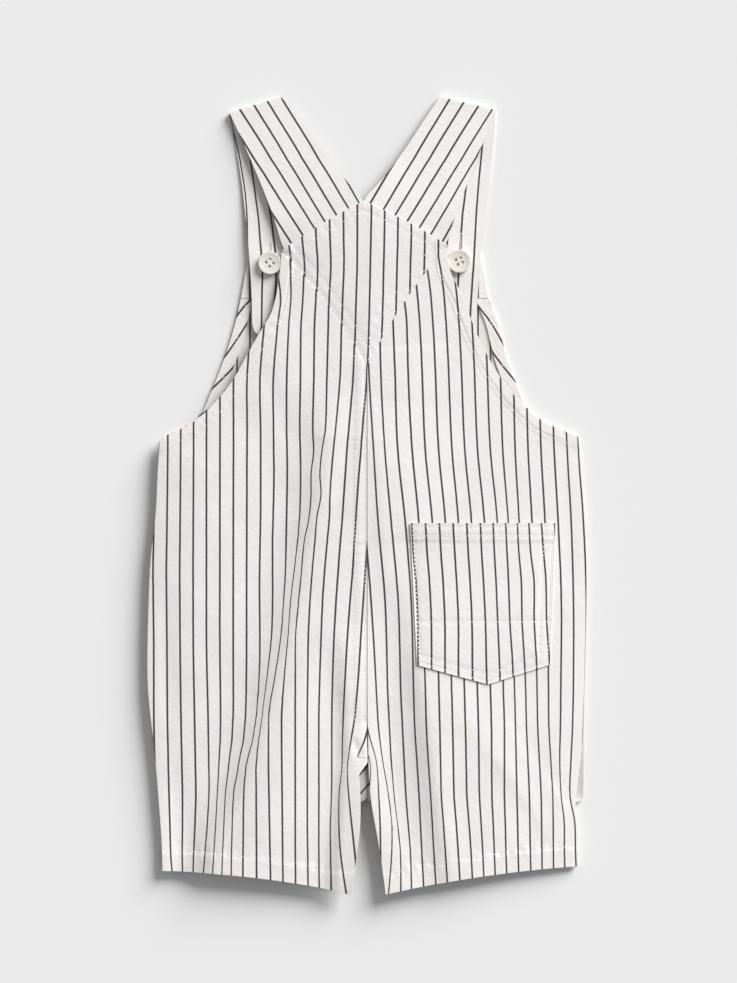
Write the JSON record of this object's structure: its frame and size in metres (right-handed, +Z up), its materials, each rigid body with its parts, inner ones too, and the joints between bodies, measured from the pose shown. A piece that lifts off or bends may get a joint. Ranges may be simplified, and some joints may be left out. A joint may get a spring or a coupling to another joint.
{
  "type": "shortalls",
  "caption": "Baby's striped shortalls laid flat, back up, with a kite-shaped yoke, crossing shoulder straps buttoned inside the bib, a seat patch pocket and hemmed short legs.",
  "frame": {"origin": "middle of the garment's outline, on the surface that it lies on", "axes": "+Z up from the surface, +Y up the garment towards the shoulder straps, +X to the right of the back as it is seen"},
  "size_m": [0.2847, 0.5184, 0.0097],
  "materials": {
    "striped_twill": "matte woven cotton, off-white with thin navy stripes",
    "cream_button": "polished cream resin"
  },
  "bodies": {
    "root": {"back_left": "striped_twill", "back_right": "striped_twill", "back_yoke": "striped_twill", "back_pocket": "striped_twill", "front_left": "striped_twill", "front_right": "striped_twill", "bib_hem": "striped_twill", "armhole_hem_left": "striped_twill", "armhole_hem_right": "striped_twill", "strap_left": "striped_twill", "strap_right": "striped_twill", "button_left": "cream_button", "button_right": "cream_button"}
  },
  "joints": []
}
